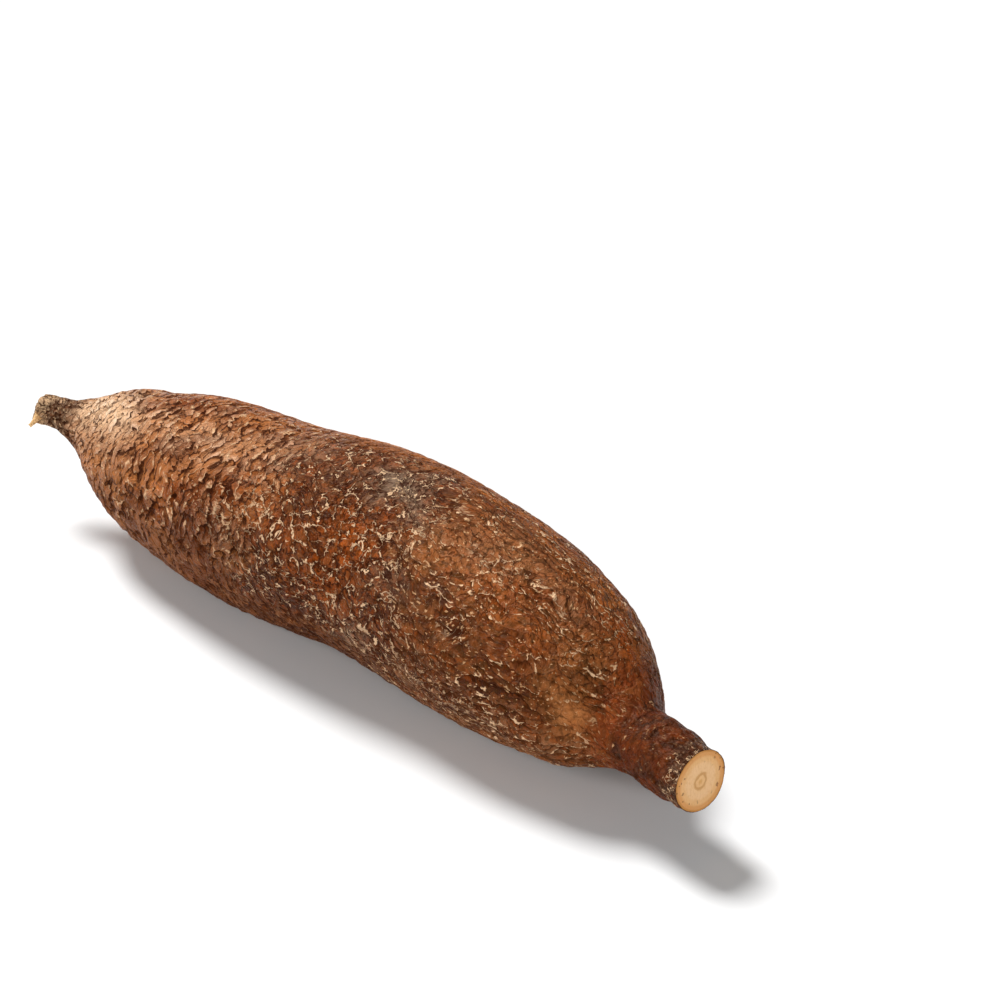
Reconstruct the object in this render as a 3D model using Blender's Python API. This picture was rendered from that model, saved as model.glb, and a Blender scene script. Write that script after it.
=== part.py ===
"""A whole cassava root lying on its side, modelled as the one solid it grew as.

The tail is at -X and the sawn stem end at +X, +Z is up, and the root rests on z = 0.
Lengths are written in millimetres and turned into metres once, in the loft.
"""

import math

import bmesh
import bpy
import numpy as np

MM = 0.001

# One row for each place where the shape changes, from the tail tip to the stem end:
# distance along the root, sideways bow, clearance underneath, mean radius.
SECTIONS = (
    (3.0, -0.5, 29.0, 4.5),  # broken tip of the tail
    (14.0, 2.5, 26.5, 6.0),
    (19.0, 5.5, 22.0, 9.0),  # the tail flares into the shoulder
    (34.0, 8.0, 11.0, 18.0),
    (46.0, 7.0, 6.5, 21.5),
    (62.0, 7.5, 3.0, 25.5),
    (82.0, 8.0, 0.5, 28.5),
    (104.0, 8.5, 0.0, 30.0),  # crown of the tail half
    (146.0, 11.0, 2.0, 32.0),  # waist between the two swellings
    (166.0, 13.5, 0.5, 32.5),
    (186.0, 13.0, 0.0, 32.5),  # crown of the stem half
    (219.0, 11.5, 1.0, 29.0),
    (239.0, 9.5, 4.5, 23.5),  # the shoulder closes in on the neck
    (252.0, 8.0, 10.5, 15.0),
    (261.0, 4.0, 14.5, 10.5),  # neck, which keeps its thickness up to the saw cut
    (272.0, 2.5, 14.5, 10.5),
    (292.0, 0.0, 15.5, 9.0),  # a little past the saw cut
)

# Lobes that keep the sections from being true circles:
# count round the root, share of the radius, angle at the tail, turn over the whole length (degrees).
LOBES = (
    (2, 0.022, 25.0, 130.0),
    (3, 0.014, 80.0, -150.0),
    (5, 0.006, 10.0, 240.0),
)

# Gentle lumps (above zero) and hollows (below zero):
# distance along the root, angle from +Y towards +Z, height, reach along, reach round (degrees).
LUMPS = (
    (4.0, 208.0, 2.6, 1.7, 20.0),  # stub of a broken rootlet at the tail tip
    (148.0, 222.0, -1.0, 11.0, 34.0),  # crease under the waist
    (56.0, 70.0, 0.6, 22.0, 34.0),
    (70.0, 170.0, -0.8, 14.0, 26.0),
    (206.0, 200.0, 1.0, 16.0, 30.0),
    (112.0, 330.0, -1.0, 18.0, 30.0),
    (178.0, 20.0, -1.1, 16.0, 28.0),
    (232.0, 120.0, -0.8, 8.0, 34.0),
)

CUT_DISTANCE = 286.8  # along the root, to the middle of the saw cut
CUT_LEAN_DEG = 4.0  # the sawn face looks a little upwards
CUT_TURN_DEG = -2.0  # and a little towards -Y
REST_FLAT = 0.6  # how much of the underside is pressed flat where the root lies
TIP_DOME = 1.0  # how far the broken tail tip bulges

RINGS = 92
SEGMENTS = 40
THIN_PLACES_SHARE = 0.45  # rings stand this much closer together where the root is thinnest

BARK_COLOUR = (0.20, 0.085, 0.036, 1.0)
WOOD_COLOUR = (0.72, 0.52, 0.30, 1.0)


def clear_scene():
    """Removes whatever the file was opened with."""
    for obj in list(bpy.data.objects):
        bpy.data.objects.remove(obj)


def smooth_through(at, places, values):
    """A cubic Hermite curve through the values, with Catmull-Rom slopes for uneven spacing."""
    slopes = np.gradient(values, places)
    index = np.clip(np.searchsorted(places, at) - 1, 0, len(places) - 2)
    span = places[index + 1] - places[index]
    t = (at - places[index]) / span
    return (
        (2 * t**3 - 3 * t**2 + 1) * values[index]
        + (t**3 - 2 * t**2 + t) * span * slopes[index]
        + (3 * t**2 - 2 * t**3) * values[index + 1]
        + (t**3 - t**2) * span * slopes[index + 1]
    )


def sections_at(at):
    """Sideways bow, clearance and radius at these distances along the root."""
    table = np.array(SECTIONS)
    return [smooth_through(at, table[:, 0], table[:, k]) for k in (1, 2, 3)]


def ring_places():
    """Distances of the rings: even steps over the skin, shorter where the root is thin."""
    fine = np.linspace(SECTIONS[0][0], SECTIONS[-1][0], 2000)
    bow, _, radius = sections_at(fine)
    steps = np.sqrt(np.diff(fine) ** 2 + np.diff(bow) ** 2 + np.diff(radius) ** 2)
    thickness = radius[1:] / radius.max()
    walked = np.concatenate([[0.0], np.cumsum(steps / (THIN_PLACES_SHARE + thickness))])
    return np.interp(np.linspace(0.0, walked[-1], RINGS), walked, fine)


def skin_radius(place, radius, angles):
    """Radius round one ring, with its lobes and lumps."""
    share = place / SECTIONS[-1][0]
    found = np.full(len(angles), radius)
    for count, amount, start, turn in LOBES:
        phase = math.radians(start + turn * share)
        found += radius * amount * np.cos(count * (angles - phase))
    for centre, around, height, reach, spread in LUMPS:
        along = math.exp(-(((place - centre) / reach) ** 2))
        away = np.angle(np.exp(1j * (angles - math.radians(around))))
        found += height * along * np.exp(-((away / math.radians(spread)) ** 2))
    return found


def ring_points(place):
    """Points round the root where it is crossed square to X, standing clear by its clearance."""
    bow, clearance, radius = (float(v[0]) for v in sections_at(np.array([place])))
    angles = np.linspace(0.0, 2.0 * math.pi, SEGMENTS, endpoint=False)
    reach = skin_radius(place, radius, angles)
    ys = bow + reach * np.cos(angles)
    zs = reach * np.sin(angles)
    zs += clearance - zs.min()
    return [(place * MM, y * MM, z * MM) for y, z in zip(ys, zs)]


def loft(bm):
    """The skin from the domed tail tip to past the saw cut."""
    rings = [[bm.verts.new(point) for point in ring_points(place)] for place in ring_places()]
    for low, high in zip(rings, rings[1:]):
        for k in range(SEGMENTS):
            after = (k + 1) % SEGMENTS
            bm.faces.new((low[k], low[after], high[after], high[k]))
    close_end(bm, rings[0], -TIP_DOME)
    close_end(bm, rings[-1], 0.0)


def close_end(bm, ring, bulge):
    """Closes an end with triangles that meet in the middle."""
    middle = sum((v.co for v in ring), ring[0].co * 0.0) / len(ring)
    middle.x += bulge * MM
    top = bm.verts.new(middle)
    for k, vert in enumerate(ring):
        bm.faces.new((vert, ring[(k + 1) % len(ring)], top))


def middle_at(place):
    """The middle of the ring at this distance, in metres."""
    points = np.array(ring_points(place))
    return (points.min(axis=0) + points.max(axis=0)) / 2.0


def saw_stem(bm):
    """Cuts the stem end off, which leaves the pale sawn face."""
    lean, turn = math.radians(CUT_LEAN_DEG), math.radians(CUT_TURN_DEG)
    normal = (math.cos(lean) * math.cos(turn), math.cos(lean) * math.sin(turn), math.sin(lean))
    everything = bm.verts[:] + bm.edges[:] + bm.faces[:]
    where = middle_at(CUT_DISTANCE)
    bmesh.ops.bisect_plane(bm, geom=everything, plane_co=where, plane_no=normal, clear_outer=True)
    rim = [edge for edge in bm.edges if edge.is_boundary]
    made = bmesh.ops.holes_fill(bm, edges=rim, sides=0)
    for face in made["faces"]:
        face.material_index = 1


def settle(bm):
    """Stands the root on z = 0 over the origin, with the lowest skin pressed flat."""
    low = [min(v.co[k] for v in bm.verts) for k in range(3)]
    high = [max(v.co[k] for v in bm.verts) for k in range(3)]
    middle = [(a + b) / 2 for a, b in zip(low, high)]
    for vert in bm.verts:
        vert.co.x -= middle[0]
        vert.co.y -= middle[1]
        vert.co.z = max(vert.co.z - low[2] - REST_FLAT * MM, 0.0)


def material(name, colour, roughness):
    made = bpy.data.materials.new(name)
    made.use_nodes = True
    shader = made.node_tree.nodes["Principled BSDF"]
    shader.inputs["Base Color"].default_value = colour
    shader.inputs["Roughness"].default_value = roughness
    shader.inputs["Metallic"].default_value = 0.0
    return made


def build_root():
    bm = bmesh.new()
    loft(bm)
    saw_stem(bm)
    settle(bm)
    bmesh.ops.recalc_face_normals(bm, faces=bm.faces)
    mesh = bpy.data.meshes.new("cassava_root")
    bm.to_mesh(mesh)
    bm.free()
    mesh.materials.append(material("bark", BARK_COLOUR, 0.7))
    mesh.materials.append(material("sawn_wood", WOOD_COLOUR, 0.6))
    mesh.shade_smooth()
    mesh.set_sharp_from_angle(angle=math.radians(50.0))
    return bpy.data.objects.new("cassava_root", mesh)


def main():
    clear_scene()
    collection = bpy.data.collections.new("cassava")
    bpy.context.scene.collection.children.link(collection)
    collection.objects.link(build_root())


main()
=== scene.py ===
"""Looks of a whole cassava root that lies on its side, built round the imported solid.

One closed skin stands for the solid. It follows the solid's surface on a fine grid and carries the bark's
scales, ridges and wrinkles as real geometry. The material repeats the same relief from the same formulas,
so that its colours and its finest bumps fall exactly on the modelled ones.
Lengths are in millimetres unless a name or a comment says otherwise; "along" counts from the tail tip to
the stem end, and "round" is an angle in degrees from +Y towards +Z.
"""

import math

import bpy
import numpy as np
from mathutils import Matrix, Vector, noise
from mathutils.bvhtree import BVHTree


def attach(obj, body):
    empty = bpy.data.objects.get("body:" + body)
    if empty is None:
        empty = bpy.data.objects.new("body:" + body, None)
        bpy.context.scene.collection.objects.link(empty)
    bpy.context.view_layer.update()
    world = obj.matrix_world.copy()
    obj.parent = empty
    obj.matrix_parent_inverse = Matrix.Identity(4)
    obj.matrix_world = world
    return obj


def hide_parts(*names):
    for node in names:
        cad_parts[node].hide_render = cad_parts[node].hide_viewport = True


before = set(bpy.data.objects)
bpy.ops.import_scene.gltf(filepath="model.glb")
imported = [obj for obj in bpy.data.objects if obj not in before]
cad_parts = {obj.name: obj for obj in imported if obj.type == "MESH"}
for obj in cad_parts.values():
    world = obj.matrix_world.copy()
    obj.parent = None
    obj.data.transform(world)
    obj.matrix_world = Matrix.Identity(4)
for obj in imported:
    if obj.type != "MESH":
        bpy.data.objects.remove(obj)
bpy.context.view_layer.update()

SOLID = "cassava_root"
MM = 0.001

# ---------------------------------------------------------------- the skin's grid
COLUMNS = 280
BODY_ROWS = 328
FACE_ROWS = 9
TIP_ROWS = 5
SAW_FACING = 0.95  # how squarely a triangle of the sawn face looks along the root
SAW_ZONE = 4.0  # the sawn face lies within this length of the stem end
MIDDLE_STATIONS = 71
MIDDLE_WINDOW = 3.2  # half the length that each station of the middle curve looks at
MIDDLE_TAIL_INSET = 1.5  # the first and last stations stand this far inside the solid's ends
MIDDLE_STEM_INSET = 2.5
TIP_INSET = 1.3  # the first whole ring stands this far from the very tip
TIP_BULGE = 0.8  # share of that length which the tip's dome fills
TIP_TORN = 0.9  # about how far the torn tip's points stand out or in
TIP_POINT = 0.1  # the middle of the tip stands out this far from its smallest ring
SLANT_REACH = 22.0  # rings lean into the saw cut over this length
CAST_INSET = 0.02  # each ray is cast this far before its point's place along the root
CAST_SLANT_INSET = 0.4  # and this much farther before it at the saw cut
CAST_SAW_MARGIN = 1.2  # no ray is cast nearer to the middle of the cut than this
RIM_SHARE = 0.97  # the sawn face's first ring, as a share of the rim
BARK_FADE_ROWS = 4.0  # the relief fades over these rows before the saw cut
BARK_AT_CUT = 0.25  # the share of the relief that it fades towards
FACET_BLUR_ROUND = 4.5  # degrees
FACET_BLUR_ALONG = 1.8  # rows
RELIEF_BLUR = 2  # how often the modelled relief is averaged with its neighbours

# ---------------------------------------------------------------- the snapped rootlet near the tail tip
STUB_ALONG = 2.8
STUB_ROUND = 186.0
STUB_HEADING = (-0.15, -0.70, -0.70)
STUB_LENGTH = 3.6
STUB_BEND = (-0.15, 0.1, 0.0)
STUB_ROOTED = 0.9  # how deep the stub starts under the skin
STUB_RADIUS = 1.1
STUB_ROWS = 22
STUB_COLUMNS = 24

# ---------------------------------------------------------------- light and camera
FLOOR_HALF = 20.0  # metres
FLOOR_DROP = 0.0001  # metres
FLOOR_COLOUR = (0.88, 0.88, 0.88, 1)
WORLD_STRENGTH = 0.15
SUN_POWER = 3.85
SUN_WIDTH = 20.0  # degrees
SUN_SIDE = (-0.61, 0.10, 0.77)  # the way towards the sun
AREA_WIDTH = 0.5  # metres
AREA_LIGHTS = (  # name, place and aim in metres, power
    ("fill", (-0.35, -0.95, 0.55), (0, 0, 0.02), 3.6),
    ("front", (1.0, -0.65, 0.45), (0.1, 0, 0.03), 4.0),
)
CAMERA_LENS = 147.2
CAMERA_SENSOR = 36.0
CAMERA_AIM = (-0.0377, 0.0886, 0.0)  # metres
CAMERA_ELEVATION = 30.0
CAMERA_HEADING = 45.17
CAMERA_DISTANCE = 1.32  # metres


class Net:
    """Short calls for making nodes, the same in a material's tree and in a geometry tree."""

    def __init__(self, tree):
        self.tree = tree
        self.in_geometry = tree.bl_idname == "GeometryNodeTree"

    def add(self, kind, **settings):
        node = self.tree.nodes.new(kind)
        for name, value in settings.items():
            setattr(node, name, value)
        return node

    def feed(self, socket, value):
        if isinstance(value, bpy.types.NodeSocket):
            self.tree.links.new(value, socket)
        else:
            socket.default_value = value

    def attribute(self, name, is_vector=False):
        if self.in_geometry:
            kind = "FLOAT_VECTOR" if is_vector else "FLOAT"
            node = self.add("GeometryNodeInputNamedAttribute", data_type=kind)
            node.inputs["Name"].default_value = name
            return node.outputs["Attribute"]
        node = self.add("ShaderNodeAttribute", attribute_name=name)
        return node.outputs["Vector" if is_vector else "Fac"]

    def math(self, operation, *values):
        node = self.add("ShaderNodeMath", operation=operation)
        for socket, value in zip(node.inputs, values):
            self.feed(socket, value)
        return node.outputs[0]

    def add_up(self, first, *others):
        for other in others:
            first = self.math("ADD", first, other)
        return first

    def times(self, first, *others):
        for other in others:
            first = self.math("MULTIPLY", first, other)
        return first

    def vector(self, operation, *values):
        node = self.add("ShaderNodeVectorMath", operation=operation)
        sockets = (node.inputs[0], node.inputs["Scale"]) if operation == "SCALE" else node.inputs
        for socket, value in zip(sockets, values):
            self.feed(socket, value)
        return node.outputs["Value" if operation == "DOT_PRODUCT" else "Vector"]

    def step(self, value, low, high, to_low=0.0, to_high=1.0):
        """A smooth step between two values, which may run downwards."""
        node = self.add("ShaderNodeMapRange", interpolation_type="SMOOTHSTEP")
        for name, given in (("Value", value), ("From Min", low), ("From Max", high)):
            self.feed(node.inputs[name], given)
        self.feed(node.inputs["To Min"], to_low)
        self.feed(node.inputs["To Max"], to_high)
        return node.outputs[0]

    def tint(self, share, a, b):
        """Between two colours."""
        node = self.add("ShaderNodeMix", data_type="RGBA")
        for index, value in ((0, share), (6, a), (7, b)):
            self.feed(node.inputs[index], value)
        return node.outputs[2]

    def noise(self, place, size, detail=2.0, roughness=0.5, output="Fac"):
        """Noise whose features are about this size."""
        node = self.add("ShaderNodeTexNoise")
        self.feed(node.inputs["Vector"], place)
        for name, value in (("Scale", 1.0 / size), ("Detail", detail), ("Roughness", roughness)):
            node.inputs[name].default_value = value
        return node.outputs[0 if output == "Fac" else 1]

    def cells(self, place, feature="F1"):
        node = self.add("ShaderNodeTexVoronoi", feature=feature)
        self.feed(node.inputs["Vector"], place)
        node.inputs["Scale"].default_value = 1.0
        return node.outputs

    def split(self, vector):
        node = self.add("ShaderNodeSeparateXYZ")
        self.feed(node.inputs[0], vector)
        return node.outputs


# ---------------------------------------------------------------- the skin's shape
def solid_mesh():
    """Points, in millimetres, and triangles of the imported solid."""
    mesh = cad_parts[SOLID].data
    mesh.calc_loop_triangles()
    points = np.empty(len(mesh.vertices) * 3)
    mesh.vertices.foreach_get("co", points)
    corners = np.empty(len(mesh.loop_triangles) * 3, dtype=np.int32)
    mesh.loop_triangles.foreach_get("vertices", corners)
    return points.reshape(-1, 3) / MM, corners.reshape(-1, 3)


def saw_plane(points, corners):
    """A point on the sawn face and its outward normal."""
    a, b, c = (points[corners[:, k]] for k in range(3))
    normals = np.cross(b - a, c - a)
    lengths = np.linalg.norm(normals, axis=1)
    squarely = normals[:, 0] > SAW_FACING * lengths
    facing = squarely & (a[:, 0] > points[:, 0].max() - SAW_ZONE)
    normal = normals[facing].sum(axis=0)
    middle = ((a + b + c) / 3)[facing]
    return np.average(middle, axis=0, weights=lengths[facing]), normal / np.linalg.norm(normal)


def middle_curve(points):
    """The solid's middle, as a function from X to Y and Z."""
    first = points[:, 0].min() + MIDDLE_TAIL_INSET
    last = points[:, 0].max() - MIDDLE_STEM_INSET
    places = np.linspace(first, last, MIDDLE_STATIONS)
    middles = []
    for place in places:
        near = points[np.abs(points[:, 0] - place) < MIDDLE_WINDOW]
        middles.append((near.min(axis=0) + near.max(axis=0)) / 2.0)
    middles = np.array(middles)[:, 1:]
    middles[1:-1] = (middles[:-2] + middles[1:-1] + middles[2:]) / 3.0
    return lambda x: (np.interp(x, places, middles[:, 0]), np.interp(x, places, middles[:, 1]))


def blur(field, reach, axis, wraps):
    """A Gaussian blur along one axis of the grid."""
    span = int(math.ceil(3 * reach))
    weights = np.exp(-0.5 * (np.arange(-span, span + 1) / reach) ** 2)
    padding = [(0, 0)] * field.ndim
    padding[axis] = (span, span)
    padded = np.pad(field, padding, mode="wrap" if wraps else "edge")
    return np.apply_along_axis(lambda row: np.convolve(row, weights / weights.sum(), "valid"), axis, padded)


class Skin:
    """The smooth skin on its grid: rows from the tail tip to the saw cut, columns round the root."""

    def __init__(self):
        points, corners = solid_mesh()
        self.tree = BVHTree.FromPolygons([tuple(p) for p in points], [tuple(c) for c in corners])
        self.low = points.min(axis=0)
        self.middle = middle_curve(points)
        self.saw_point, self.saw_normal = saw_plane(points, corners)
        self.angles = np.linspace(0.0, 2.0 * math.pi, COLUMNS, endpoint=False)
        self.first = self.low[0] + TIP_INSET
        self.grid = self.cast(self.even_places(BODY_ROWS))

    def reach(self, x, angle):
        """Distance from the middle to the surface at this place."""
        y, z = (float(v) for v in self.middle(x))
        direction = Vector((0.0, math.cos(angle), math.sin(angle)))
        hit = self.tree.ray_cast(Vector((x, y, z)), direction)
        return hit[3]

    def even_places(self, count):
        """Places along X with even steps over the skin."""
        fine = np.linspace(self.first, self.saw_point[0] - 1.0, 600)
        some = np.linspace(0.0, 2.0 * math.pi, 12, endpoint=False)
        radii = np.array([np.mean([self.reach(x, a) for a in some]) for x in fine])
        walked = np.concatenate([[0.0], np.cumsum(np.hypot(np.diff(fine), np.diff(radii)))])
        places = np.interp(np.linspace(0.0, walked[-1], count), walked, fine)
        stretch = (self.saw_point[0] - self.first) / (places[-1] - self.first)
        return self.first + (places - self.first) * stretch

    def slanted(self, place, radii):
        """X round one row: square to the root far from the saw cut, in the cut's plane at its end."""
        lean = np.clip((place - self.saw_point[0] + SLANT_REACH) / SLANT_REACH, 0.0, 1.0) ** 2
        y, z = self.middle(place)
        across = np.stack([y + radii * np.cos(self.angles), z + radii * np.sin(self.angles)], axis=1)
        shift = -((across - self.saw_point[1:]) @ self.saw_normal[1:]) / self.saw_normal[0]
        return place + lean * shift

    def cast(self, places):
        """The grid's points, found by casting from the middle and smoothed free of facets."""
        radii = np.empty((len(places), COLUMNS))
        xs = np.empty_like(radii)
        guess = np.full(COLUMNS, 10.0)
        for i, place in enumerate(places):
            xs[i] = self.slanted(place, guess)
            nearness = max(0.0, 1.0 - (self.saw_point[0] - place) / SLANT_REACH)
            inset = CAST_INSET + CAST_SLANT_INSET * nearness ** 2
            inside = np.minimum(xs[i] - inset, self.saw_point[0] - CAST_SAW_MARGIN)
            found = [self.reach(x, a) for x, a in zip(inside, self.angles)]
            radii[i] = [f if f is not None else guess[k] for k, f in enumerate(found)]
            guess = radii[i]
        radii = blur(radii, FACET_BLUR_ROUND / 360.0 * COLUMNS, 1, True)
        radii = blur(radii, FACET_BLUR_ALONG, 0, False)
        y, z = self.middle(xs)
        return np.stack([xs, y + radii * np.cos(self.angles), z + radii * np.sin(self.angles)], axis=2)


def grid_normals(grid):
    """Outward normals of the grid's points."""
    along = np.gradient(grid, axis=0)
    round_ = np.roll(grid, -1, axis=1) - np.roll(grid, 1, axis=1)
    normals = np.cross(round_, along)
    return normals / np.linalg.norm(normals, axis=2, keepdims=True)


def capped(skin):
    """The grid with the tail tip's dome before it and the sawn face after it, and which way is out."""
    grid = skin.grid
    rows, outward = [], []
    tip_middle = grid[0].mean(axis=0)
    for k in range(1, TIP_ROWS + 1):
        share = k / (TIP_ROWS + 1)
        ring = tip_middle + (grid[0] - tip_middle) * share
        torn = np.array([noise.noise(Vector(p) * 0.55) + 0.6 * noise.noise(Vector(p) * 1.6) for p in ring])
        dome = TIP_INSET * TIP_BULGE * math.sqrt(1.0 - share**2)
        ring[:, 0] -= dome + TIP_TORN * (1.0 - share**4) * torn
        rows.append(ring)
        outward.append(np.tile([-1.0, 0.0, 0.0], (COLUMNS, 1)))
    normals = grid_normals(grid)
    rows.extend(grid)
    outward.extend(normals)
    face_middle = grid[-1].mean(axis=0)
    for k in range(1, FACE_ROWS + 1):
        share = 1.0 - (k / (FACE_ROWS + 1.0)) if k > 1 else RIM_SHARE
        rows.append(face_middle + (grid[-1] - face_middle) * share)
        outward.append(np.tile(skin.saw_normal, (COLUMNS, 1)))
    return np.array(rows), np.array(outward)


def tube_quads(rows, columns):
    """Quads between the rings of a tube, from its first ring to its last."""
    quads = []
    for row in range(rows - 1):
        for k in range(columns):
            after = (k + 1) % columns
            low, high = row * columns, (row + 1) * columns
            quads.append((low + k, low + after, high + after, high + k))
    return quads


def faces_of(rows):
    """Quads of a closed grid with a fan at each end. The fans' middle points come last."""
    quads = tube_quads(rows, COLUMNS)
    first, last = rows * COLUMNS, rows * COLUMNS + 1
    for k in range(COLUMNS):
        after = (k + 1) % COLUMNS
        quads.append((after, k, first))
        quads.append(((rows - 1) * COLUMNS + k, (rows - 1) * COLUMNS + after, last))
    return quads


# ---------------------------------------------------------------- where the bark changes
# DARK is the darkest bark, and also the colour of the shade painted into hollows, gaps and beside the cream
# cracks.
DARK = (0.040, 0.006, 0.0004)
UNDER = (0.052, 0.009, 0.0008)
BROWN = (0.125, 0.0245, 0.0026)
TAN = (0.37, 0.122, 0.032)
# PALE and CREST_PALE are pale bark, and along the top of the tail half also a painted sheen.
PALE = (0.92, 0.56, 0.32)
CREAM = (0.88, 0.57, 0.335)
BEIGE = (0.66, 0.37, 0.18)
ORANGE = (0.40, 0.074, 0.003)
RUST = (0.17, 0.027, 0.003)
GREY = (0.24, 0.155, 0.098)
OLIVE = (0.070, 0.024, 0.004)
DUSTY = (0.32, 0.120, 0.048)
PLAIN_DARK = (0.15, 0.036, 0.006)
PLAIN_LIGHT = (0.33, 0.112, 0.032)
SCALE_DARK = (0.17, 0.038, 0.005)
SCALE_LIGHT = (0.46, 0.150, 0.038)
FAR_DARK = (0.20, 0.050, 0.007)
FAR_LIGHT = (0.46, 0.135, 0.024)
STEM_LIGHT = (0.28, 0.076, 0.014)
LOW_DARK = (0.09, 0.021, 0.004)
LOW_LIGHT = (0.25, 0.080, 0.025)
SPOT_TAN = (0.48, 0.18, 0.055)
STEM_TAN = (0.50, 0.185, 0.056)
NECK_BROWN = (0.085, 0.012, 0.001)
NECK_DARK = (0.030, 0.0055, 0.001)
BAND_DARK = (0.045, 0.016, 0.008)
TAIL_BROWN = (0.115, 0.050, 0.022)
TIP_FLESH = (0.66, 0.42, 0.23)
CREST_SCALE = (0.44, 0.175, 0.075)
# Painted sheen: the pale pink that the scales' crests take along the top, where the key light's reflection
# falls.
CREST_PAINTED_SHEEN = (0.78, 0.43, 0.25)
CREST_LOW = (0.42, 0.19, 0.085)
# pale crests of the pale spots, partly a painted sheen along the top
CREST_PALE = (1.0, 0.74, 0.52)
CREST_GREY = (0.52, 0.38, 0.26)
CREST_NECK = (0.16, 0.036, 0.008)
CREST_BAND = (0.36, 0.20, 0.11)
CREST_TAIL = (0.68, 0.46, 0.29)

# Each soft spot: place along, angle round, reach along, reach round, strength.
# The first four spots lie high on the tail half, where the key light's reflection falls, and are partly
# painted sheen; the others are pale bark.
PALE_AND_SHEEN_SPOTS = (
    (37.0, 118.0, 13.0, 32.0, 1.0),
    (20.0, 118.0, 9.0, 50.0, 0.8),
    (80.0, 114.0, 22.0, 14.0, 0.22),
    (118.0, 104.0, 22.0, 12.0, 0.12),
    (162.0, 198.0, 8.0, 14.0, 0.4),
    (62.0, 300.0, 20.0, 40.0, 0.6),
    (130.0, 20.0, 24.0, 30.0, 0.5),
    (205.0, 320.0, 18.0, 30.0, 0.4),
)
ORANGE_SPOTS = (
    (157.0, 142.0, 12.0, 13.0, 1.0),
    (152.0, 172.0, 12.0, 14.0, 0.8),
    (241.0, 84.0, 9.0, 16.0, 1.0),
    (206.0, 122.0, 14.0, 12.0, 0.4),
    (128.0, 150.0, 12.0, 10.0, 0.6),
    (104.0, 138.0, 10.0, 8.0, 0.5),
    (84.0, 160.0, 12.0, 9.0, 0.4),
    (60.0, 92.0, 20.0, 9.0, 0.4),
    (226.0, 150.0, 10.0, 14.0, 0.35),
    (110.0, 262.0, 16.0, 26.0, 0.6),
    (196.0, 20.0, 14.0, 22.0, 0.7),
    (60.0, 30.0, 12.0, 24.0, 0.4),
)
TAN_SPOTS = (
    (245.0, 158.0, 8.0, 15.0, 1.0),
    (247.0, 185.0, 6.0, 20.0, 0.5),
    (190.0, 118.0, 18.0, 14.0, 0.5),
    (210.0, 98.0, 22.0, 13.0, 0.5),
    (216.0, 222.0, 24.0, 9.0, 0.4),
    (196.0, 160.0, 6.0, 6.0, 0.4),
    (242.0, 120.0, 10.0, 16.0, 0.35),
    (46.0, 165.0, 16.0, 24.0, 0.75),
    (140.0, 262.0, 12.0, 18.0, 0.5),
)
GREY_SPOTS = (
    (158.0, 102.0, 9.0, 12.0, 1.0),
    (170.0, 112.0, 8.0, 10.0, 0.5),
    (176.0, 150.0, 9.0, 9.0, 0.35),
    (96.0, 340.0, 12.0, 20.0, 0.7),
)
DARK_SPOTS = (
    (138.0, 205.0, 24.0, 18.0, 0.8),
    (146.0, 182.0, 26.0, 18.0, 0.4),
    (184.0, 156.0, 16.0, 15.0, 0.8),
    (206.0, 168.0, 14.0, 12.0, 0.6),
    (205.0, 141.0, 28.0, 9.0, 0.7),
    (214.0, 202.0, 30.0, 5.0, 0.8),
    (176.0, 176.0, 12.0, 12.0, 0.5),
    (228.0, 172.0, 12.0, 15.0, 0.9),
    (205.0, 196.0, 18.0, 12.0, 0.5),
    (250.0, 128.0, 5.0, 14.0, 0.4),
    (21.0, 168.0, 5.0, 40.0, 0.5),
    (110.0, 168.0, 26.0, 17.0, 0.7),
    (74.0, 190.0, 24.0, 16.0, 0.45),
    (70.0, 222.0, 40.0, 16.0, 0.5),
    (84.0, 140.0, 14.0, 8.0, 0.3),
    (120.0, 232.0, 44.0, 16.0, 0.7),
    (180.0, 226.0, 34.0, 16.0, 0.6),
    (214.0, 60.0, 20.0, 20.0, 0.3),
)
SLEEK_SPOTS = (
    (245.0, 158.0, 9.0, 17.0, 0.8),
    (256.0, 84.0, 9.0, 26.0, 0.9),
    (259.0, 150.0, 6.0, 60.0, 0.8),
)
DUSTY_SPOTS = (
    (216.0, 92.0, 24.0, 14.0, 0.55),
    (196.0, 112.0, 12.0, 10.0, 0.4),
)
STEM_TAN_SPOTS = ((245.0, 158.0, 8.0, 15.0, 1.0),)
CURL_SPOTS = (
    (158.0, 98.0, 11.0, 16.0, 1.0),
    (204.0, 108.0, 9.0, 7.0, 1.0),
    (219.0, 104.0, 8.0, 6.0, 0.9),
    (140.0, 160.0, 20.0, 24.0, 1.0),
    (120.0, 148.0, 18.0, 18.0, 0.9),
    (198.0, 150.0, 12.0, 10.0, 0.5),
    (200.0, 200.0, 26.0, 12.0, 0.6),
    (150.0, 300.0, 40.0, 40.0, 0.6),
)

# Size of the bark's plates, in millimetres, at places along the root.
PLATE_PLACES = (0.0, 24.0, 40.0, 105.0, 150.0, 190.0, 245.0, 262.0, 290.0)
PLATE_LENGTHS = (1.6, 1.9, 2.8, 3.0, 2.7, 5.4, 5.2, 3.0, 1.0)
PLATE_WIDTHS = (1.6, 2.3, 3.6, 3.9, 2.6, 2.2, 2.2, 2.2, 1.3)
LAYOUT_FROM = -20.0  # the plates are counted between these places along the root
LAYOUT_TO = 320.0
LAYOUT_PLACES = 1701
CHAIN_CELL = (36.0, 8.5, 8.5)  # chains of dashes run along the edges of cells of this size
CHAIN_WIDTH = 0.13  # in cells


def smooth(t):
    t = np.clip(t, 0.0, 1.0)
    return t * t * (3.0 - 2.0 * t)


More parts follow.
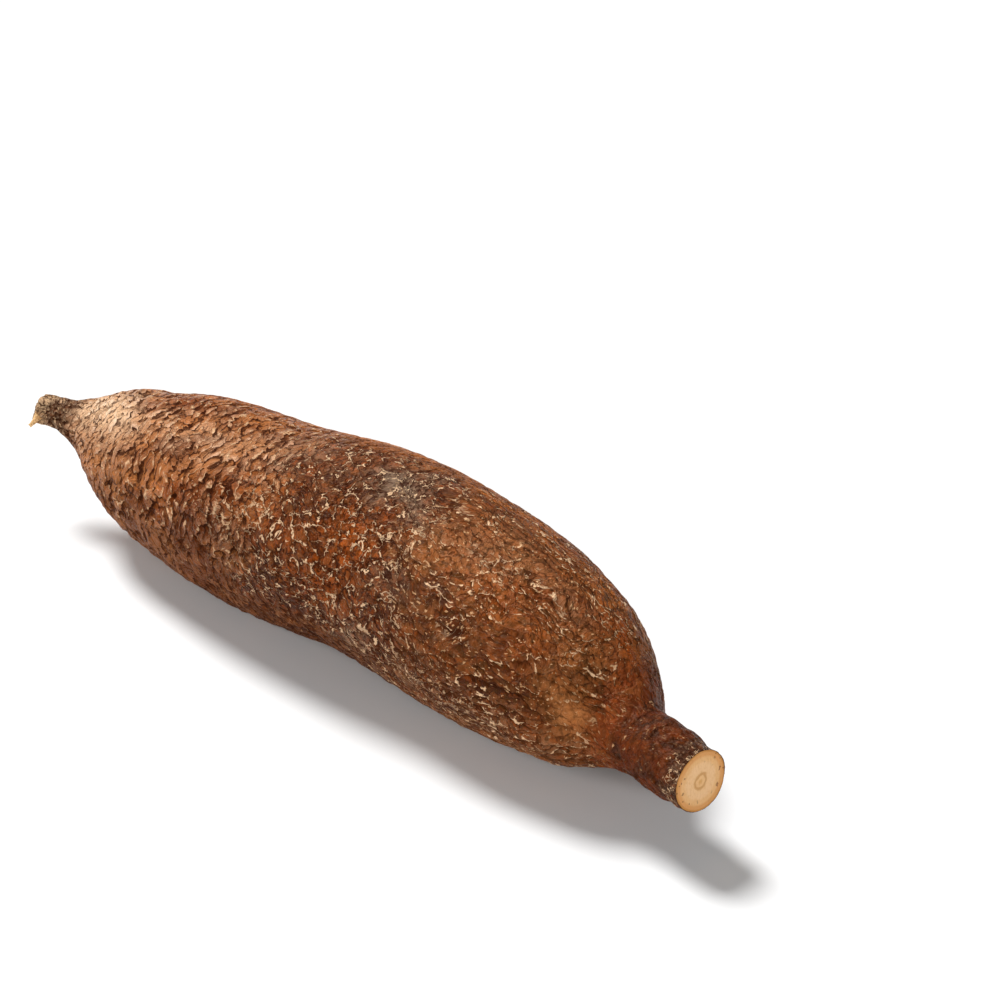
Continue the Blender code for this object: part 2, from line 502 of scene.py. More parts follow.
def cloud(points, size, octaves, seed):
    """Soft random values around zero, between about -1 and 1, with features of this size."""
    offset = Vector((37.0 * seed, 11.0 * seed, 71.0 * seed))
    scaled = points / size
    return np.array([noise.fractal(Vector(p) + offset, 0.9, 2.0, octaves) for p in scaled])


def drift(points, size, reach, seed):
    """Soft random steps of about this reach."""
    return reach * np.stack([cloud(points, size, 1, seed + k) for k in range(3)], axis=1)


def turn_from(around, angle):
    """Degrees from this angle, the short way round."""
    return np.degrees(np.angle(np.exp(1j * np.radians(around - angle))))


def span(value, low, high, soft):
    """One between two places, falling to nothing over the soft length outside them."""
    return smooth((value - low) / soft + 1.0) * smooth((high - value) / soft + 1.0)


def patches(along, around, spots):
    """Soft spots added up."""
    total = np.zeros_like(along)
    for place, angle, reach, spread, strength in spots:
        away = ((along - place) / reach) ** 2 + (turn_from(around, angle) / spread) ** 2
        total += strength * np.exp(-away)
    return np.clip(total, 0.0, 1.0)


def layered(first, *layers):
    """Values that give way to one another; each layer is (share, value)."""
    result = np.array(first, dtype=float)
    for share, value in layers:
        value = np.array(value, dtype=float)
        share = share[:, None] if value.ndim and value.shape[-1] == 3 else share
        result = result + (value - result) * share
    return result


def chains(points):
    """Near one along the long wavy lines that run down the bark."""
    stretched = points / CHAIN_CELL
    nearest = np.array([noise.voronoi(Vector(p))[0][:2] for p in stretched])
    return np.exp(-(((nearest[:, 1] - nearest[:, 0]) / CHAIN_WIDTH) ** 2))


def plate_layout(bent, along):
    """Coordinates in which the bark's plates are one unit long and wide, and their steps per millimetre."""
    lengths = np.interp(along, PLATE_PLACES, PLATE_LENGTHS)
    widths = np.interp(along, PLATE_PLACES, PLATE_WIDTHS)
    fine = np.linspace(LAYOUT_FROM, LAYOUT_TO, LAYOUT_PLACES)
    steps = 1.0 / np.interp(fine, PLATE_PLACES, PLATE_LENGTHS)
    counted = np.concatenate([[0.0], np.cumsum((steps[1:] + steps[:-1]) / 2.0 * np.diff(fine))])
    layout = np.stack([np.interp(along, fine, counted), bent[:, 1] / widths, bent[:, 2] / widths], axis=1)
    return layout, np.stack([1.0 / lengths, 1.0 / widths, 1.0 / widths], axis=1)


def zones(points, along, around):
    """What the relief and the material need to know at these places, by attribute name."""
    bent = points + drift(points, 17.0, 3.0, 21) + drift(points, 6.0, 1.3, 25)
    layout, per = plate_layout(bent, bent[:, 0] - points[:, 0].min())
    true_along, true_around = along, around
    along = along + 6.0 * cloud(points, 15.0, 3, 1)
    around = around + 14.0 * cloud(points, 13.0, 3, 2)

    # Round the root, a zone is an angle, its reach to both sides of it, and the width of its soft edge.
    top = span(turn_from(around, 118.0), -44.0, 54.0, 22.0)
    far = span(turn_from(around, 62.0), -40.0, 6.0, 16.0)
    low = span(turn_from(around, 214.0), -20.0, 60.0, 18.0)
    hidden = span(turn_from(around, 310.0), -56.0, 40.0, 20.0)
    tail_half = span(along, 22.0, 114.0, 16.0)
    scales = tail_half * np.maximum(top, 0.7 * hidden)
    cracked = span(turn_from(around, 140.0), -50.0, 58.0, 16.0)
    network = span(along, 124.0, 172.0, 16.0) * np.maximum(cracked, 0.8 * hidden)
    stem_half = span(along, 182.0, 250.0, 16.0)
    low_stem = low * span(along, 165.0, 240.0, 16.0)
    neck = span(true_along, 260.0, 300.0, 7.0)
    band = span(true_along + 1.5 * cloud(points, 3.0, 2, 6), 281.0, 300.0, 4.0)
    tail = span(true_along, -20.0, 12.0, 7.0)
    tip = span(true_along + 0.8 * cloud(points, 2.0, 2, 7), -20.0, 4.2, 2.4)
    sleek = patches(along, around, SLEEK_SPOTS)
    dusty = patches(along, around, DUSTY_SPOTS)
    stem_tan = patches(along, around, STEM_TAN_SPOTS)
    # Pale bark, and partly painted sheen where the spots lie along the top.
    pale = patches(along, around, PALE_AND_SHEEN_SPOTS)
    orange = patches(along, around, ORANGE_SPOTS)
    tan = patches(along, around, TAN_SPOTS)
    # The band along the top where the key light's reflection falls; the scales' crests there get a painted
    # sheen.
    painted_sheen_band = span(turn_from(around, 112.0), -6.0, 8.0, 18.0)
    grey = patches(along, around, GREY_SPOTS)
    dark = patches(along, around, DARK_SPOTS)
    curls = patches(along, around, CURL_SPOTS)
    shoulder = span(true_along, 252.0, 262.0, 8.0)
    broad = smooth(0.5 + 1.3 * cloud(points * (0.5, 1.0, 1.0), 9.0, 3, 3))
    blotch = smooth(0.5 + 1.3 * cloud(points, 5.0, 3, 4))
    streak = smooth(0.5 + 1.3 * cloud(points * (0.25, 1.0, 1.0), 3.0, 2, 5))

    even = np.zeros_like(along)
    blank = np.zeros((len(along), 3))
    plain_tone = layered(blank + PLAIN_DARK, (broad * 0.8, PLAIN_LIGHT))
    scale_tone = layered(blank + SCALE_DARK, (broad, SCALE_LIGHT))
    far_tone = layered(blank + FAR_DARK, (streak, FAR_LIGHT))
    net_tone = layered(blank + UNDER, (broad, BROWN))
    stem_tone = layered(
        blank + UNDER,
        (smooth(broad * 2.2), BROWN),
        (smooth(broad * 2.4 - 1.3) * 0.75, STEM_LIGHT),
    )
    low_tone = layered(blank + LOW_DARK, (streak * 0.7, LOW_LIGHT))
    tone = layered(
        plain_tone,
        (stem_half, stem_tone),
        (stem_half * smooth(1.2 - 2.0 * blotch) * 0.55, UNDER),
        (low_stem, low_tone),
        (network, net_tone),
        (scales, scale_tone),
        (far * span(along, 26.0, 240.0, 12.0), far_tone),
        # pale bark, partly painted sheen along the top
        (pale, PALE),
        # painted shade: the lower side of the middle is darkened
        (low * span(along, 110.0, 175.0, 14.0) * 0.35, UNDER),
        (orange * (0.6 + 0.4 * blotch), ORANGE),
        (tan * 0.9, SPOT_TAN),
        (stem_tan, STEM_TAN),
        (dusty, DUSTY),
        (grey * 0.85, GREY),
        (dark * (0.45 + 0.45 * blotch), DARK),
        (shoulder * 0.8, RUST),
        (neck * 0.95, NECK_BROWN),
        (neck * (1.0 - blotch), NECK_DARK),
        (band * 0.8, BAND_DARK),
        (tail, TAIL_BROWN),
        (tip * 0.85, TIP_FLESH),
    )
    crest = layered(
        blank + TAN,
        (scales, CREST_SCALE),
        # painted sheen on the scales' crests along the top
        (scales * painted_sheen_band * 0.9, CREST_PAINTED_SHEEN),
        (low_stem, CREST_LOW),
        # pale crests, partly painted sheen along the top
        (pale, CREST_PALE),
        (grey, CREST_GREY),
        (neck, CREST_NECK),
        (band, CREST_BAND),
        (tail, CREST_TAIL),
    )
    chained = np.clip(stem_half + 0.8 * far + low_stem, 0.0, 1.0)
    turn = np.radians(true_around)
    ahead = layered(0.5 + even, (scales, 0.65), (stem_half, 0.35))
    aside = layered(0.3 + even, (scales, 0.25), (stem_half, 1.0), (low_stem, 1.0))
    lean = np.stack([ahead, -aside * np.sin(turn), aside * np.cos(turn)], axis=1)
    return {
        "bent": bent,
        "layout": layout,
        "per": per,
        "lean": lean,
        "tone": tone,
        "crest": crest,
        "network": np.maximum(network, curls * 0.8) * (1.0 - tail) * (1.0 - neck),
        "tilt": layered(
            0.75 + even, (scales, 1.1), (far, 0.32), (network, 0.4), (stem_half, 0.36), (low_stem, 0.55),
            (sleek, 0.15), (neck, 0.12), (tail, 0.7),
        ),
        "crease": layered(
            0.36 + even, (scales, 0.45), (far, 0.13), (network, 0.28), (stem_half, 0.22), (low_stem, 0.26),
            (sleek, 0.08), (neck, 0.06), (band, 0.30), (tail, 0.35),
        ),
        # how strongly the relief's high places take the crest colour: paler bark, and partly a painted
        # highlight
        "crested": layered(
            0.55 + even, (scales, 0.85), (far, 0.5), (network, 0.35), (stem_half, 0.3), (low_stem, 0.4),
            (neck, 0.3), (band, 0.6),
        ),
        # how strongly shade is painted into the relief's hollows and gaps
        "hollow_shade": layered(
            0.7 + even, (scales, 0.88), (far, 0.55), (network, 0.75), (stem_half, 0.45), (pale, 0.6),
            (sleek, 0.1), (neck, 0.25), (band, 0.7),
        ),
        "wiggle": layered(
            1.0 + even, (scales, 0.72), (stem_half, 0.45), (low_stem, 0.4), (far, 0.5), (network, 1.0),
        ),
        "stain": layered(
            0.35 + even, (scales, 0.2), (network, 0.5), (stem_half, 0.75), (sleek, 0.25), (neck, 0.3),
            (pale, 0.0), (grey, 0.3),
        ),
        "dots": layered(
            0.2 + even, (scales, 0.1), (network, 0.3), (stem_half, 0.85), (sleek, 0.3), (shoulder, 0.2),
            (neck, 0.12),
        ),
        # where the shade painted into the relief's hollows begins
        "shade": layered(0.42 + even, (scales, 0.16), (pale, 0.1), (neck, 0.2)),
        "sheen": layered(
            0.5 + even, (scales, 0.3), (pale, 0.3), (network, 0.4), (stem_half, 0.5), (neck, 0.45),
        ),
        "lipped": layered(
            0.5 + even, (scales, 0.8), (network, 0.4), (stem_half, 1.0), (low_stem, 0.9), (sleek, 0.25),
            (shoulder, 0.5), (neck, 0.7), (band, 0.9), (tail, 0.9),
        ),
        "rusty": layered(
            0.15 + even, (scales, 0.1), (network, 0.5), (stem_half, 0.3), (tan, 0.2), (grey, 0.0),
            (neck, 0.2),
        ),
        "rim": layered(0.18 + even, (scales, 0.22), (network, 0.16), (stem_half, 0.14)),
        "rings": np.maximum(neck * 2.0, tail * 0.9),
        "curls": curls,
        "chain": np.maximum.reduce([
            chains(bent) * chained * (1.0 - sleek) * (1.0 - neck),
            0.5 * scales,
            0.3 * low_stem,
            0.9 * band,
            0.6 * tail,
        ]),
    }


# ---------------------------------------------------------------- the bark's relief, for geometry and shading
WIDE_SWIRL = 1.6
TIGHT_SWIRL = 0.8
CREASE_SIZE = 1.35
CREASE_MEAN = 1.15  # about the middle of the ridged noise
MIX_SIZE = 2.2
CRACK_CELLS = (0.2, 0.24, 0.24)  # cells per millimetre of the net of cream cracks
CRACK_LEAN = (0.6, 0.3, 0.0)
RING_SIZE = 3.8
DOT_SIZE = 0.75
PLATE_UP = 0.3  # how far a plate's middle stands above its edge, as a share of its tilt
OWN_UP = 0.1  # a plate's own random height; the heights of the other features follow
LUMP_UP = 0.8
LIP_UP = 0.13
CREAM_UP = 0.25
GAP_DOWN = -0.2
WORM_UP = 0.5
BESIDE_DOWN = -0.25
RING_UP = 1.4
CRACKED_TILT = 0.9  # how steeply the pieces between the cream cracks lean


def ridged(net, place, size, detail=2.0):
    """Noise with sharp crests, from 0 to about 3."""
    node = net.add("ShaderNodeTexNoise", noise_type="RIDGED_MULTIFRACTAL", normalize=False)
    net.feed(node.inputs["Vector"], place)
    node.inputs["Scale"].default_value = 1.0 / size
    node.inputs["Detail"].default_value = detail
    for name, value in (("Roughness", 0.6), ("Offset", 1.0), ("Gain", 2.0)):
        node.inputs[name].default_value = value
    return node.outputs[0]


def swirl(net, place, size, detail):
    """A random step at each place, about a sixth of a unit long."""
    return net.vector("SUBTRACT", net.noise(place, size, detail, 0.5, "Color"), (0.5, 0.5, 0.5))


def plates(net, place, lean, scatter):
    """Leaning plates: height up each one's slope, its own random number, and the distance to its edge."""
    cell = net.cells(place)
    edge = net.cells(place, "DISTANCE_TO_EDGE")["Distance"]
    offset = net.vector("SUBTRACT", place, cell["Position"])
    way = net.vector("SCALE", net.vector("SUBTRACT", cell["Color"], (0.5, 0.5, 0.5)), scatter)
    slope = net.vector("DOT_PRODUCT", offset, net.vector("ADD", way, lean))
    return slope, net.split(cell["Color"])[1], edge


def relief(net):
    """Height of the bark above the smooth skin, in millimetres, and what the colours share with it."""
    bent = net.attribute("bent", True)
    per = net.attribute("per", True)
    network = net.attribute("network")
    wide = swirl(net, bent, WIDE_SWIRL, 1.0)
    tight = swirl(net, bent, TIGHT_SWIRL, 0.0)
    bend = net.vector("SCALE", wide, net.times(net.attribute("wiggle"), 3.0))
    place = net.vector("ADD", net.attribute("layout", True), net.vector("MULTIPLY", bend, per))
    slope, own, edge = plates(net, place, net.attribute("lean", True), 1.5)
    rim = net.attribute("rim")
    lip = net.times(net.step(edge, rim, net.times(rim, 0.35)), net.step(slope, 0.0, 0.12))
    # gap is the crevice under a neighbouring plate's lip: it lowers the relief, and the material paints it
    # dark as a shadow
    gap = net.times(net.step(edge, net.times(rim, 1.2), net.times(rim, 0.4)), net.step(slope, 0.02, -0.12))
    creases = ridged(net, net.vector("ADD", bent, net.vector("SCALE", wide, 2.0)), CREASE_SIZE, 1.0)
    some, small, spare = net.split(net.noise(bent, MIX_SIZE, 2.0, 0.6, "Color"))
    gap = net.times(gap, net.step(some, 0.62, 0.42, 0.35, 1.0))
    chosen = net.add_up(some, net.times(net.attribute("chain"), 0.16))
    cream = net.times(lip, net.step(chosen, 0.60, 0.67), net.attribute("lipped"))

    waves = net.vector("ADD", net.vector("SCALE", wide, 2.8), net.vector("SCALE", tight, 0.6))
    wavy = net.vector("ADD", bent, waves)
    mesh_place = net.vector("MULTIPLY", wavy, CRACK_CELLS)
    mesh_slope, _, mesh_edge = plates(net, mesh_place, CRACK_LEAN, 0.9)
    whole = net.add_up(spare, net.times(net.attribute("curls"), 0.03))
    thick = net.step(whole, 0.47, 0.66, 0.016, 0.046)
    line = net.step(net.math("DIVIDE", mesh_edge, thick), 1.4, 0.7)
    worm = net.times(line, net.step(whole, 0.47, 0.52), network)
    # beside is the low side next to a cream crack: it lowers the relief, and the material paints it dark as a
    # shadow
    beside = net.times(net.step(mesh_edge, 0.25, 0.06), net.step(mesh_slope, 0.05, -0.15), network)

    tilt = net.attribute("tilt")
    crease = net.attribute("crease")
    height = net.add_up(
        net.times(slope, tilt),
        net.times(net.step(edge, 0.0, 0.3), tilt, PLATE_UP),
        net.times(own, OWN_UP),
        net.times(net.math("SUBTRACT", creases, CREASE_MEAN), crease),
        net.times(net.math("SUBTRACT", small, 0.5), LUMP_UP),
        net.times(lip, LIP_UP),
        net.times(cream, CREAM_UP),
        net.times(gap, GAP_DOWN),
        net.times(worm, WORM_UP),
        net.times(beside, BESIDE_DOWN),
        net.times(mesh_slope, network, CRACKED_TILT),
    )
    rings = net.noise(net.vector("MULTIPLY", bent, (1.0, 0.3, 0.3)), RING_SIZE, 1.5, 0.5)
    height = net.add_up(height, net.times(net.math("SUBTRACT", rings, 0.5), net.attribute("rings"), RING_UP))
    level = net.add_up(net.times(slope, tilt), net.times(creases, 0.5))
    dots = net.noise(net.vector("MULTIPLY", bent, (0.55, 1.0, 1.0)), DOT_SIZE, 1.0, 0.5)
    dots = net.times(net.step(net.add_up(dots, net.times(some, 0.12)), 0.728, 0.765), net.attribute("dots"))
    shared = {
        "own": own,
        "small": small,
        "spare": spare,
        "gap": gap,
        "cream": cream,
        "worm": worm,
        "beside": beside,
        "dots": dots,
        "level": level,
    }
    return height, shared


def relief_modifier(obj):
    """Pushes the skin out by the bark's relief and stores that height for the material."""
    tree = bpy.data.node_groups.new("bark_relief", "GeometryNodeTree")
    tree.interface.new_socket("Geometry", in_out="INPUT", socket_type="NodeSocketGeometry")
    tree.interface.new_socket("Geometry", in_out="OUTPUT", socket_type="NodeSocketGeometry")
    net = Net(tree)
    entry, leave = net.add("NodeGroupInput"), net.add("NodeGroupOutput")
    height, _ = relief(net)
    even = net.add("GeometryNodeBlurAttribute", data_type="FLOAT")
    net.feed(even.inputs[0], height)
    even.inputs["Iterations"].default_value = RELIEF_BLUR
    height = net.times(even.outputs[0], net.attribute("bark_share"))
    store = net.add("GeometryNodeStoreNamedAttribute", data_type="FLOAT", domain="POINT")
    store.inputs["Name"].default_value = "lift"
    net.feed(store.inputs["Geometry"], entry.outputs[0])
    net.feed(store.inputs["Value"], height)
    push = net.add("GeometryNodeSetPosition")
    net.feed(push.inputs["Geometry"], store.outputs[0])
    offset = net.vector("SCALE", net.attribute("outward", True), net.times(height, MM))
    net.feed(push.inputs["Offset"], offset)
    net.feed(leave.inputs[0], push.outputs[0])
    obj.modifiers.new("relief", "NODES").node_group = tree


def add_attribute(mesh, name, values):
    kind, field = ("FLOAT", "value") if values.ndim == 1 else ("FLOAT_VECTOR", "vector")
    made = mesh.attributes.new(name, kind, "POINT")
    made.data.foreach_set(field, np.ascontiguousarray(values, dtype=np.float32).ravel())


def baked(obj):
    """Replaces the object's mesh by what its modifiers make of it."""
    graph = bpy.context.evaluated_depsgraph_get()
    final = obj.evaluated_get(graph)
    mesh = bpy.data.meshes.new_from_object(final, preserve_all_data_layers=True, depsgraph=graph)
    obj.modifiers.clear()
    old, obj.data = obj.data, mesh
    bpy.data.meshes.remove(old)
    mesh.name = obj.name


def build_skin(skin, bark, sawn):
    """The root's closed skin with its relief baked in, in bark and sawn wood."""
    rows, outward = capped(skin)
    count = len(rows)
    ends = np.array([rows[0].mean(axis=0) - [TIP_POINT, 0.0, 0.0], rows[-1].mean(axis=0)])
    points = np.concatenate([rows.reshape(-1, 3), ends])
    out = np.concatenate([outward.reshape(-1, 3), [[-1.0, 0.0, 0.0]], [skin.saw_normal]])
    along = points[:, 0] - skin.low[0]
    y, z = skin.middle(points[:, 0])
    around = np.degrees(np.arctan2(points[:, 2] - z, points[:, 1] - y)) % 360.0

    mesh = bpy.data.meshes.new("root_skin")
    mesh.from_pydata((points * MM).tolist(), [], faces_of(count))
    row = np.concatenate([np.repeat(np.arange(count), COLUMNS), [0, count]])
    on_face = row >= count - FACE_ROWS
    add_attribute(mesh, "rest", points)
    add_attribute(mesh, "outward", out)
    before_face = np.clip((count - FACE_ROWS - row) / BARK_FADE_ROWS, 0.0, 1.0)
    bark_share = BARK_AT_CUT + (1.0 - BARK_AT_CUT) * smooth(before_face)
    add_attribute(mesh, "bark_share", np.where(on_face, 0.0, bark_share))
    add_attribute(mesh, "from_pith", np.linalg.norm(points - points[-1], axis=1))
    to_edge = 1.0 - (row - count + FACE_ROWS + 1.0) / (FACE_ROWS + 1.0)
    to_edge = np.where(row > count - FACE_ROWS, to_edge, 1.0)
    to_edge[row == count - FACE_ROWS] = RIM_SHARE
    add_attribute(mesh, "to_edge", to_edge)
    for name, values in zones(points, along, around).items():
        add_attribute(mesh, name, values)
    obj = bpy.data.objects.new("root_skin", mesh)
    bpy.context.scene.collection.objects.link(obj)
    relief_modifier(obj)
    bpy.context.view_layer.update()
    baked(obj)
    keep_off_floor(obj.data)
    obj.data.shade_smooth()
    obj.data.materials.append(bark)
    obj.data.materials.append(sawn)
    first_face_quad = (count - FACE_ROWS - 1) * COLUMNS
    slots = np.zeros(len(obj.data.polygons), dtype=np.int32)
    first_fan_face = (count - 1) * COLUMNS
    slots[first_face_quad:first_fan_face] = 1
    slots[first_fan_face + 1::2] = 1  # the fans' triangles alternate; every second one is on the sawn face
    obj.data.polygons.foreach_set("material_index", slots)
    obj.data.update()
    return obj


def build_stub(skin, material):
    """The stub of a snapped rootlet low on the tail's side: a bent, tapering, knobbly tube."""
    place, angle = skin.low[0] + STUB_ALONG, math.radians(STUB_ROUND)
    y, z = (float(v) for v in skin.middle(place))
    outward = np.array([0.0, math.cos(angle), math.sin(angle)])
    start = np.array([place, y, z]) + outward * (skin.reach(place, angle) - STUB_ROOTED)
    points = []
    for row in range(STUB_ROWS):
        share = row / (STUB_ROWS - 1.0)
        heading = np.array(STUB_HEADING) + np.array(STUB_BEND) * share
        heading /= np.linalg.norm(heading)
        middle = start + heading * (STUB_LENGTH + STUB_ROOTED) * share
        side = np.cross(heading, (0.0, 0.0, 1.0))
        side /= np.linalg.norm(side)
        other = np.cross(heading, side)
        for k in range(STUB_COLUMNS):
            turn = 2.0 * math.pi * k / STUB_COLUMNS
            spoke = side * math.cos(turn) + other * math.sin(turn)
            radius = STUB_RADIUS * (1.0 - 0.5 * share) * (1.0 + 1.2 * max(0.0, 0.4 - share))
            knob = noise.noise(Vector(middle * 0.9 + spoke * 1.3)) * 0.3
            knob += noise.noise(Vector(middle * 3.0 + spoke)) * 0.12
            torn = noise.noise(Vector(spoke * 2.6)) * 0.5 * share**6
            points.append(middle + spoke * (radius + knob) + heading * torn)
    faces = tube_quads(STUB_ROWS, STUB_COLUMNS)
    faces.append(tuple(reversed(range(STUB_COLUMNS))))
    tip = len(points)
    points.append(np.mean(points[-STUB_COLUMNS:], axis=0) - heading * 0.25)
    last = (STUB_ROWS - 1) * STUB_COLUMNS
    for k in range(STUB_COLUMNS):
        faces.append((last + k, last + (k + 1) % STUB_COLUMNS, tip))
    mesh = bpy.data.meshes.new("rootlet_stub")
    mesh.from_pydata((np.array(points) * MM).tolist(), [], faces)
    add_attribute(mesh, "rest", np.array(points))
    mesh.materials.append(material)
    mesh.shade_smooth()
    obj = bpy.data.objects.new("rootlet_stub", mesh)
    bpy.context.scene.collection.objects.link(obj)
    return obj


def keep_off_floor(mesh):
    heights = np.empty(len(mesh.vertices) * 3)
    mesh.vertices.foreach_get("co", heights)
    heights[2::3] = np.maximum(heights[2::3], 0.0)
    mesh.vertices.foreach_set("co", heights)
    mesh.update()


# ---------------------------------------------------------------- materials
BARK_SPECULAR = 0.16
BARK_SPECULAR_TINT = (1.0, 0.66, 0.42, 1)
SAWN_SPECULAR = 0.1
STUB_SPECULAR = 0.2


def shader(name, roughness=0.5):
    made = bpy.data.materials.new(name)
    made.use_nodes = True
    made.node_tree.nodes.clear()
    net = Net(made.node_tree)
    surface = net.add("ShaderNodeBsdfPrincipled")
    output = net.add("ShaderNodeOutputMaterial")
    net.feed(output.inputs["Surface"], surface.outputs[0])
    surface.inputs["Roughness"].default_value = roughness
    return made, net, surface


def add_bump(net, surface, height):
    """Bumps the surface by a height in millimetres."""
    bump = net.add("ShaderNodeBump")
    bump.inputs["Strength"].default_value = 1.0
    bump.inputs["Distance"].default_value = MM
    net.feed(bump.inputs["Height"], height)
    net.feed(surface.inputs["Normal"], bump.outputs[0])


def bark_material():
    made, net, surface = shader("bark")
    height, m = relief(net)
    dark, orange, cream, beige = (*DARK, 1), (*ORANGE, 1), (*CREAM, 1), (*BEIGE, 1)
    shade = net.attribute("shade")
    colour = net.attribute("tone", True)
    colour = net.tint(net.times(net.step(m["small"], 0.46, 0.66), net.attribute("rusty")), colour, orange)
    stain = net.attribute("stain")
    colour = net.tint(net.times(net.step(m["spare"], 0.50, 0.36), stain), colour, (*OLIVE, 1))
    colour = net.tint(net.times(net.step(m["spare"], 0.54, 0.68), stain, 0.4), colour, (*DUSTY, 1))
    colour = net.tint(net.times(net.step(m["own"], 0.4, 0.95), 0.25), colour, net.attribute("crest", True))
    # The relief's high places take the crest colour: paler bark tops, and partly a painted highlight where
    # they catch the light.
    crest_and_highlight = net.times(net.step(m["level"], 0.62, 1.3), net.attribute("crested"))
    colour = net.tint(crest_and_highlight, colour, net.attribute("crest", True))
    # Painted shade: the relief's low places are darkened towards DARK, for the shade that falls in them.
    shaded_hollows = net.times(net.step(m["level"], shade, net.math("SUBTRACT", shade, 0.5)), net.attribute("hollow_shade"))
    colour = net.tint(shaded_hollows, colour, dark)
    # Painted shadow: the gaps under the plates' lips are darkened.
    colour = net.tint(net.times(m["gap"], net.step(net.attribute("hollow_shade"), 0.0, 0.8, 0.2, 0.9)), colour, dark)
    # Painted shadow beside the cream cracks.
    colour = net.tint(net.times(m["beside"], 0.7), colour, dark)
    colour = net.tint(m["cream"], colour, net.tint(net.attribute("chain"), beige, cream))
    colour = net.tint(net.times(m["worm"], 0.95), colour, cream)
    colour = net.tint(net.times(m["dots"], 0.85), colour, beige)
    net.feed(surface.inputs["Base Color"], colour)
    net.feed(surface.inputs["Roughness"], net.step(m["level"], 0.6, 0.15, net.attribute("sheen"), 1.0))
    surface.inputs["Specular IOR Level"].default_value = BARK_SPECULAR
    surface.inputs["Specular Tint"].default_value = BARK_SPECULAR_TINT
    add_bump(net, surface, net.math("SUBTRACT", height, net.attribute("lift")))
    return made


def sawn_material():
    """The sawn stem end: pith, pale wood in soft rings, brown specks, and a dark rim under the bark."""
    made, net, surface = shader("sawn_face", 0.6)
    rest = net.attribute("rest", True)
    waver = net.times(net.math("SUBTRACT", net.noise(rest, 3.0, 2.0, 0.6), 0.5), 2.2)
    out = net.add_up(net.attribute("from_pith"), waver)
    edge = net.add_up(net.attribute("to_edge"), net.times(waver, 0.02))
    colour = (0.72, 0.38, 0.13, 1)
    # Each ring: where it starts, where it is full, and its colour; first in millimetres from the pith.
    for low, high, after in (
        (0.4, 1.2, (0.84, 0.51, 0.24, 1)),
        (1.5, 2.0, (0.64, 0.33, 0.12, 1)),
        (2.2, 3.0, (0.87, 0.54, 0.275, 1)),
    ):
        colour = net.tint(net.step(out, low, high), colour, after)
    # Then as a share of the way to the rim.
    for low, high, after in (
        (0.55, 0.68, (0.82, 0.47, 0.205, 1)),
        (0.74, 0.84, (0.72, 0.34, 0.115, 1)),
        (0.90, 0.95, (0.58, 0.25, 0.065, 1)),
        (0.97, 0.99, (0.09, 0.025, 0.006, 1)),
    ):
        colour = net.tint(net.step(edge, low, high), colour, after)
    mottle = net.times(net.step(net.noise(rest, 1.6, 3.0, 0.7), 0.45, 0.75), 0.35)
    colour = net.tint(mottle, colour, (0.70, 0.34, 0.11, 1))
    near_rim = net.step(net.attribute("to_edge"), 0.45, 0.85)
    speck = net.times(net.step(net.noise(rest, 1.5, 1.0, 0.5), 0.66, 0.71), near_rim, 0.85)
    colour = net.tint(speck, colour, (0.24, 0.09, 0.03, 1))
    net.feed(surface.inputs["Base Color"], colour)
    surface.inputs["Specular IOR Level"].default_value = SAWN_SPECULAR
    fibres = net.noise(net.vector("MULTIPLY", rest, (1.0, 1.0, 0.35)), 0.6, 2.0, 0.6)
    add_bump(net, surface, net.times(fibres, 0.25))
    return made


def stub_material():
    """Bare yellowish root with brown streaks of skin left on it."""
    made, net, surface = shader("rootlet", 0.6)
    rest = net.attribute("rest", True)
    flecks = net.noise(rest, 0.9, 3.0, 0.65)
    colour = net.tint(net.step(flecks, 0.40, 0.62), (0.86, 0.55, 0.25, 1), (0.60, 0.32, 0.13, 1))
    streaks = net.times(net.step(net.noise(rest, 0.6, 1.0, 0.5), 0.58, 0.68), 0.7)
    colour = net.tint(streaks, colour, (0.22, 0.10, 0.04, 1))
    net.feed(surface.inputs["Base Color"], colour)
    surface.inputs["Specular IOR Level"].default_value = STUB_SPECULAR
    add_bump(net, surface, net.times(flecks, 0.35))
    return made


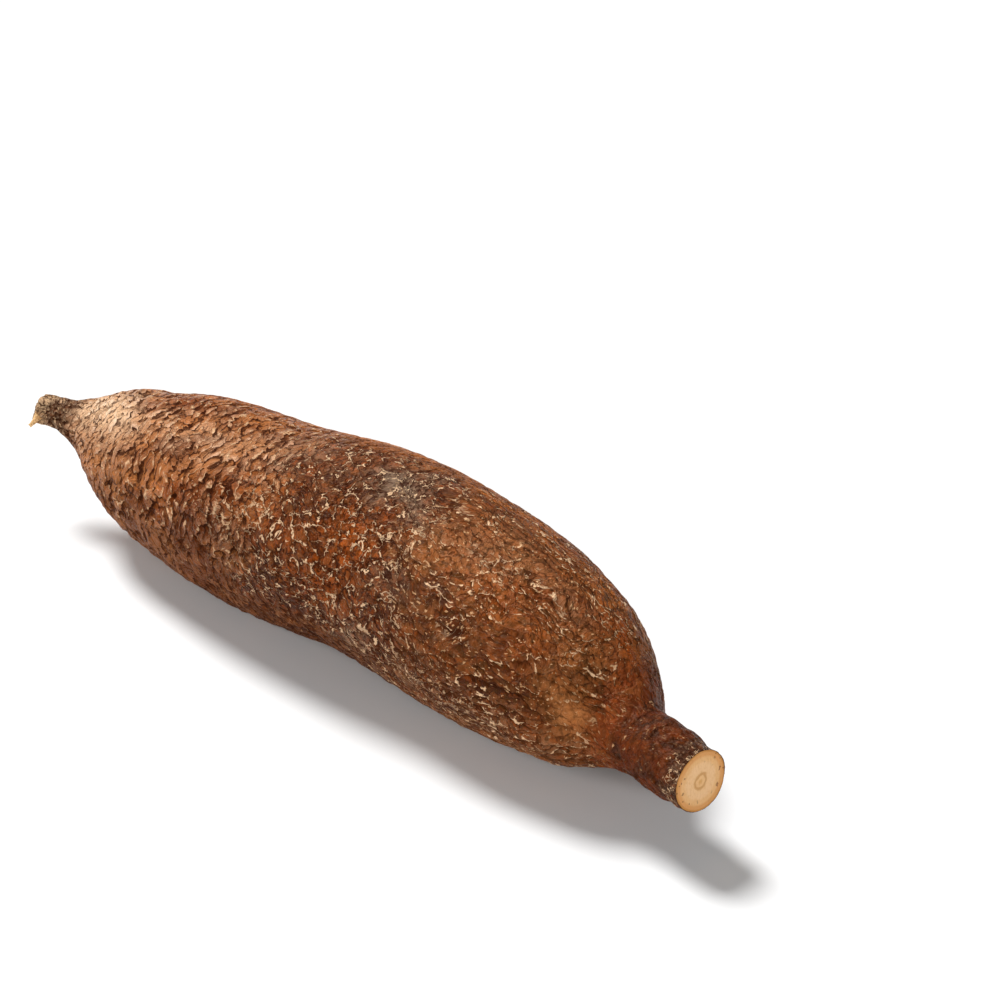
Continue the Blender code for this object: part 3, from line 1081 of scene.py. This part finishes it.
# ---------------------------------------------------------------- stage
def area_light(name, place, aim, power):
    light = bpy.data.lights.new(name, "AREA")
    light.shape = "DISK"
    light.size = AREA_WIDTH
    light.energy = power
    obj = bpy.data.objects.new(name, light)
    obj.location = place
    obj.rotation_mode = "QUATERNION"
    obj.rotation_quaternion = (Vector(aim) - Vector(place)).to_track_quat("-Z", "Y")
    bpy.context.scene.collection.objects.link(obj)


def stage():
    mesh = bpy.data.meshes.new("floor")
    half = FLOOR_HALF
    corners = [(-half, -half, 0), (half, -half, 0), (half, half, 0), (-half, half, 0)]
    mesh.from_pydata(corners, [], [(0, 1, 2, 3)])
    floor = bpy.data.objects.new("floor", mesh)
    floor.location.z = -FLOOR_DROP
    made, _, surface = shader("floor", 0.9)
    surface.inputs["Base Color"].default_value = FLOOR_COLOUR
    mesh.materials.append(made)
    bpy.context.scene.collection.objects.link(floor)

    world = bpy.data.worlds.new("studio")
    world.use_nodes = True
    background = world.node_tree.nodes["Background"]
    background.inputs["Color"].default_value = (1.0, 1.0, 1.0, 1)
    background.inputs["Strength"].default_value = WORLD_STRENGTH
    bpy.context.scene.world = world
    sun = bpy.data.lights.new("key", "SUN")
    sun.energy = SUN_POWER
    sun.angle = math.radians(SUN_WIDTH)
    obj = bpy.data.objects.new("key", sun)
    obj.rotation_mode = "QUATERNION"
    obj.rotation_quaternion = Vector(SUN_SIDE).to_track_quat("Z", "Y")
    bpy.context.scene.collection.objects.link(obj)
    for settings in AREA_LIGHTS:
        area_light(*settings)
    bpy.context.scene.view_settings.view_transform = "Standard"


def camera():
    data = bpy.data.cameras.new("camera")
    data.lens = CAMERA_LENS
    data.sensor_width = CAMERA_SENSOR
    obj = bpy.data.objects.new("camera", data)
    elevation = math.radians(CAMERA_ELEVATION)
    heading = math.radians(CAMERA_HEADING)
    level = math.cos(elevation)
    back = Vector((math.sin(heading) * level, -math.cos(heading) * level, math.sin(elevation)))
    obj.location = Vector(CAMERA_AIM) + back * CAMERA_DISTANCE
    obj.rotation_mode = "QUATERNION"
    obj.rotation_quaternion = (-back).to_track_quat("-Z", "Y")
    bpy.context.scene.collection.objects.link(obj)
    bpy.context.scene.camera = obj


camera()
stage()
skin = Skin()
root = build_skin(skin, bark_material(), sawn_material())
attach(root, "root")
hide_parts(SOLID)
stub = build_stub(skin, stub_material())
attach(stub, "root")
